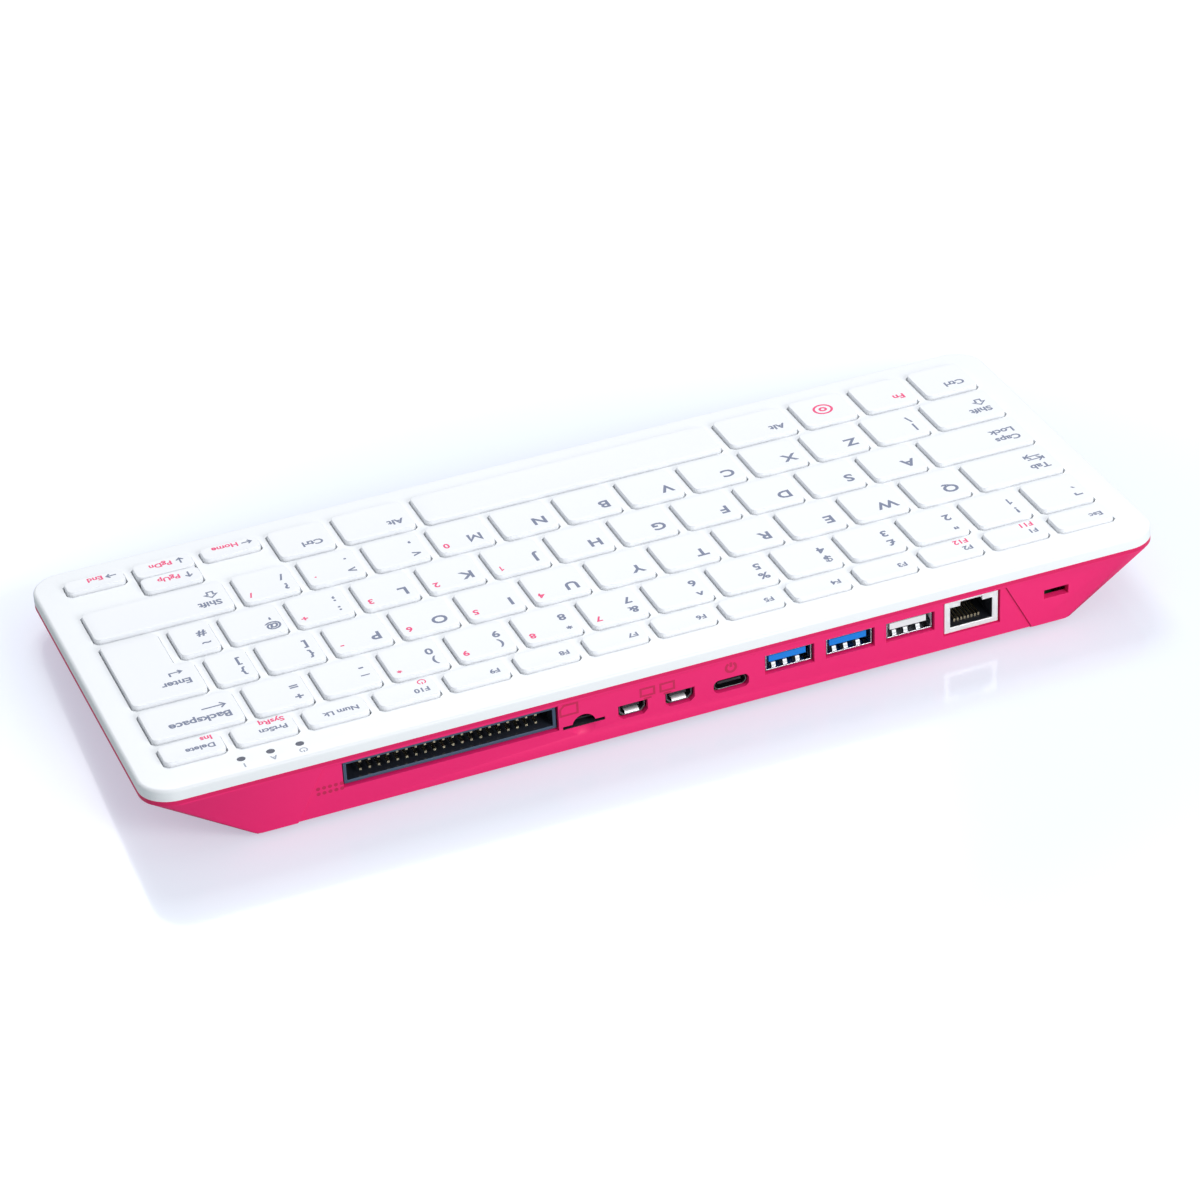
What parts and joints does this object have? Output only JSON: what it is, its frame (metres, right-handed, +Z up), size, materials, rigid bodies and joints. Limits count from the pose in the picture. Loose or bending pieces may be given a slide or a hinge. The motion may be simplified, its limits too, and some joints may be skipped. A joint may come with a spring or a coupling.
{
  "type": "keyboard computer",
  "caption": "Compact computer built into a white chiclet keyboard, with a pink tapered tub and its sockets in a row along the rear wall.",
  "frame": {"origin": "centre of the footprint, on the plane that the rubber feet stand on", "axes": "+X to the user's right along the keyboard, +Y from the user to the rear wall with the sockets, +Z up"},
  "size_m": [0.286, 0.1219, 0.0227],
  "materials": {
    "shell_pink": "fine moulded texture",
    "shell_white": "fine moulded texture",
    "key_white": "satin",
    "plate_steel": "plain rolled sheet",
    "membrane_film": "translucent film",
    "dome_silicone": "soft",
    "light_lens": "clear, unlit",
    "foot_rubber": "matte",
    "board_green": "varnished",
    "chip_black": "satin",
    "pad_grey": "soft",
    "spreader_aluminium": "brushed",
    "screw_steel": "zinc plated",
    "ribbon_film": "flat film",
    "socket_black": "satin",
    "port_steel": "bright plated",
    "contact_gold": "gold plated",
    "port_blue": "satin",
    "port_white": "satin",
    "jack_steel": "bright nickel plated"
  },
  "bodies": {
    "case": {"base_case": "shell_pink", "port_panel": "shell_pink", "top_case": "shell_white", "key_plate": "plate_steel", "contact_membrane": "membrane_film", "rubber_domes": "dome_silicone", "light_pipes": "light_lens", "rubber_feet": "foot_rubber", "main_board": "board_green", "processor": "chip_black", "memory_chip": "chip_black", "board_chips": "chip_black", "thermal_pad": "pad_grey", "heat_spreader": "spreader_aluminium", "board_screws": "screw_steel", "keyboard_ribbon": "ribbon_film", "ribbon_socket": "socket_black", "header_shroud": "socket_black", "header_pins": "contact_gold", "card_socket": "port_steel", "video_shells": "port_steel", "video_tongues": "socket_black", "power_shell": "port_steel", "power_tongue": "socket_black", "fast_ports_shell": "port_steel", "fast_ports_tongue": "port_blue", "slow_port_shell": "port_steel", "slow_port_tongue": "port_white", "network_shell": "jack_steel", "network_insert": "socket_black", "network_contacts": "contact_gold"},
    "control_left_key": {"control_left_key": "key_white"},
    "function_shift_key": {"function_shift_key": "key_white"},
    "system_key": {"system_key": "key_white"},
    "alt_left_key": {"alt_left_key": "key_white"},
    "space_key": {"space_key": "key_white"},
    "alt_right_key": {"alt_right_key": "key_white"},
    "control_right_key": {"control_right_key": "key_white"},
    "arrow_left_key": {"arrow_left_key": "key_white"},
    "arrow_down_key": {"arrow_down_key": "key_white"},
    "arrow_up_key": {"arrow_up_key": "key_white"},
    "arrow_right_key": {"arrow_right_key": "key_white"},
    "shift_left_key": {"shift_left_key": "key_white"},
    "shift_right_key": {"shift_right_key": "key_white"},
    "caps_lock_key": {"caps_lock_key": "key_white"},
    "hash_key": {"hash_key": "key_white"},
    "enter_key": {"enter_key": "key_white"},
    "tab_key": {"tab_key": "key_white"},
    "bracket_key": {"bracket_key": "key_white"},
    "backspace_key": {"backspace_key": "key_white"},
    "escape_key": {"escape_key": "key_white"},
    "power_key": {"power_key": "key_white"},
    "number_lock_key": {"number_lock_key": "key_white"},
    "print_key": {"print_key": "key_white"},
    "delete_key": {"delete_key": "key_white"},
    "lower_letter_keys": {"lower_letter_keys": "key_white"},
    "home_letter_keys": {"home_letter_keys": "key_white"},
    "upper_letter_keys": {"upper_letter_keys": "key_white"},
    "number_keys": {"number_keys": "key_white"},
    "function_keys": {"function_keys": "key_white"}
  },
  "joints": [
    {"name": "control_left_key_press", "type": "slide", "parent": "case", "child": "control_left_key", "axis": [0, 0.0849, -0.9964], "range_m": [0, 0.002], "stiffness_N_per_m": 275, "springref_m": -0.0005},
    {"name": "function_shift_key_press", "type": "slide", "parent": "case", "child": "function_shift_key", "axis": [0, 0.0849, -0.9964], "range_m": [0, 0.002], "stiffness_N_per_m": 275, "springref_m": -0.0005},
    {"name": "system_key_press", "type": "slide", "parent": "case", "child": "system_key", "axis": [0, 0.0849, -0.9964], "range_m": [0, 0.002], "stiffness_N_per_m": 275, "springref_m": -0.0005},
    {"name": "alt_left_key_press", "type": "slide", "parent": "case", "child": "alt_left_key", "axis": [0, 0.0849, -0.9964], "range_m": [0, 0.002], "stiffness_N_per_m": 275, "springref_m": -0.0005},
    {"name": "space_key_press", "type": "slide", "parent": "case", "child": "space_key", "axis": [0, 0.0849, -0.9964], "range_m": [0, 0.002], "stiffness_N_per_m": 275, "springref_m": -0.0005},
    {"name": "alt_right_key_press", "type": "slide", "parent": "case", "child": "alt_right_key", "axis": [0, 0.0849, -0.9964], "range_m": [0, 0.002], "stiffness_N_per_m": 275, "springref_m": -0.0005},
    {"name": "control_right_key_press", "type": "slide", "parent": "case", "child": "control_right_key", "axis": [0, 0.0849, -0.9964], "range_m": [0, 0.002], "stiffness_N_per_m": 275, "springref_m": -0.0005},
    {"name": "arrow_left_key_press", "type": "slide", "parent": "case", "child": "arrow_left_key", "axis": [0, 0.0849, -0.9964], "range_m": [0, 0.002], "stiffness_N_per_m": 275, "springref_m": -0.0005},
    {"name": "arrow_down_key_press", "type": "slide", "parent": "case", "child": "arrow_down_key", "axis": [0, 0.0849, -0.9964], "range_m": [0, 0.002], "stiffness_N_per_m": 275, "springref_m": -0.0005},
    {"name": "arrow_up_key_press", "type": "slide", "parent": "case", "child": "arrow_up_key", "axis": [0, 0.0849, -0.9964], "range_m": [0, 0.002], "stiffness_N_per_m": 275, "springref_m": -0.0005},
    {"name": "arrow_right_key_press", "type": "slide", "parent": "case", "child": "arrow_right_key", "axis": [0, 0.0849, -0.9964], "range_m": [0, 0.002], "stiffness_N_per_m": 275, "springref_m": -0.0005},
    {"name": "shift_left_key_press", "type": "slide", "parent": "case", "child": "shift_left_key", "axis": [0, 0.0849, -0.9964], "range_m": [0, 0.002], "stiffness_N_per_m": 275, "springref_m": -0.0005},
    {"name": "shift_right_key_press", "type": "slide", "parent": "case", "child": "shift_right_key", "axis": [0, 0.0849, -0.9964], "range_m": [0, 0.002], "stiffness_N_per_m": 275, "springref_m": -0.0005},
    {"name": "caps_lock_key_press", "type": "slide", "parent": "case", "child": "caps_lock_key", "axis": [0, 0.0849, -0.9964], "range_m": [0, 0.002], "stiffness_N_per_m": 275, "springref_m": -0.0005},
    {"name": "hash_key_press", "type": "slide", "parent": "case", "child": "hash_key", "axis": [0, 0.0849, -0.9964], "range_m": [0, 0.002], "stiffness_N_per_m": 275, "springref_m": -0.0005},
    {"name": "enter_key_press", "type": "slide", "parent": "case", "child": "enter_key", "axis": [0, 0.0849, -0.9964], "range_m": [0, 0.002], "stiffness_N_per_m": 275, "springref_m": -0.0005},
    {"name": "tab_key_press", "type": "slide", "parent": "case", "child": "tab_key", "axis": [0, 0.0849, -0.9964], "range_m": [0, 0.002], "stiffness_N_per_m": 275, "springref_m": -0.0005},
    {"name": "bracket_key_press", "type": "slide", "parent": "case", "child": "bracket_key", "axis": [0, 0.0849, -0.9964], "range_m": [0, 0.002], "stiffness_N_per_m": 275, "springref_m": -0.0005},
    {"name": "backspace_key_press", "type": "slide", "parent": "case", "child": "backspace_key", "axis": [0, 0.0849, -0.9964], "range_m": [0, 0.002], "stiffness_N_per_m": 275, "springref_m": -0.0005},
    {"name": "escape_key_press", "type": "slide", "parent": "case", "child": "escape_key", "axis": [0, 0.0849, -0.9964], "range_m": [0, 0.002], "stiffness_N_per_m": 275, "springref_m": -0.0005},
    {"name": "power_key_press", "type": "slide", "parent": "case", "child": "power_key", "axis": [0, 0.0849, -0.9964], "range_m": [0, 0.002], "stiffness_N_per_m": 275, "springref_m": -0.0005},
    {"name": "number_lock_key_press", "type": "slide", "parent": "case", "child": "number_lock_key", "axis": [0, 0.0849, -0.9964], "range_m": [0, 0.002], "stiffness_N_per_m": 275, "springref_m": -0.0005},
    {"name": "print_key_press", "type": "slide", "parent": "case", "child": "print_key", "axis": [0, 0.0849, -0.9964], "range_m": [0, 0.002], "stiffness_N_per_m": 275, "springref_m": -0.0005},
    {"name": "delete_key_press", "type": "slide", "parent": "case", "child": "delete_key", "axis": [0, 0.0849, -0.9964], "range_m": [0, 0.002], "stiffness_N_per_m": 275, "springref_m": -0.0005},
    {"name": "lower_letter_keys_press", "type": "slide", "parent": "case", "child": "lower_letter_keys", "axis": [0, 0.0849, -0.9964], "range_m": [0, 0.002], "stiffness_N_per_m": 3025, "springref_m": -0.0005},
    {"name": "home_letter_keys_press", "type": "slide", "parent": "case", "child": "home_letter_keys", "axis": [0, 0.0849, -0.9964], "range_m": [0, 0.002], "stiffness_N_per_m": 3025, "springref_m": -0.0005},
    {"name": "upper_letter_keys_press", "type": "slide", "parent": "case", "child": "upper_letter_keys", "axis": [0, 0.0849, -0.9964], "range_m": [0, 0.002], "stiffness_N_per_m": 3025, "springref_m": -0.0005},
    {"name": "number_keys_press", "type": "slide", "parent": "case", "child": "number_keys", "axis": [0, 0.0849, -0.9964], "range_m": [0, 0.002], "stiffness_N_per_m": 3575, "springref_m": -0.0005},
    {"name": "function_keys_press", "type": "slide", "parent": "case", "child": "function_keys", "axis": [0, 0.0849, -0.9964], "range_m": [0, 0.002], "stiffness_N_per_m": 2475, "springref_m": -0.0005}
  ]
}
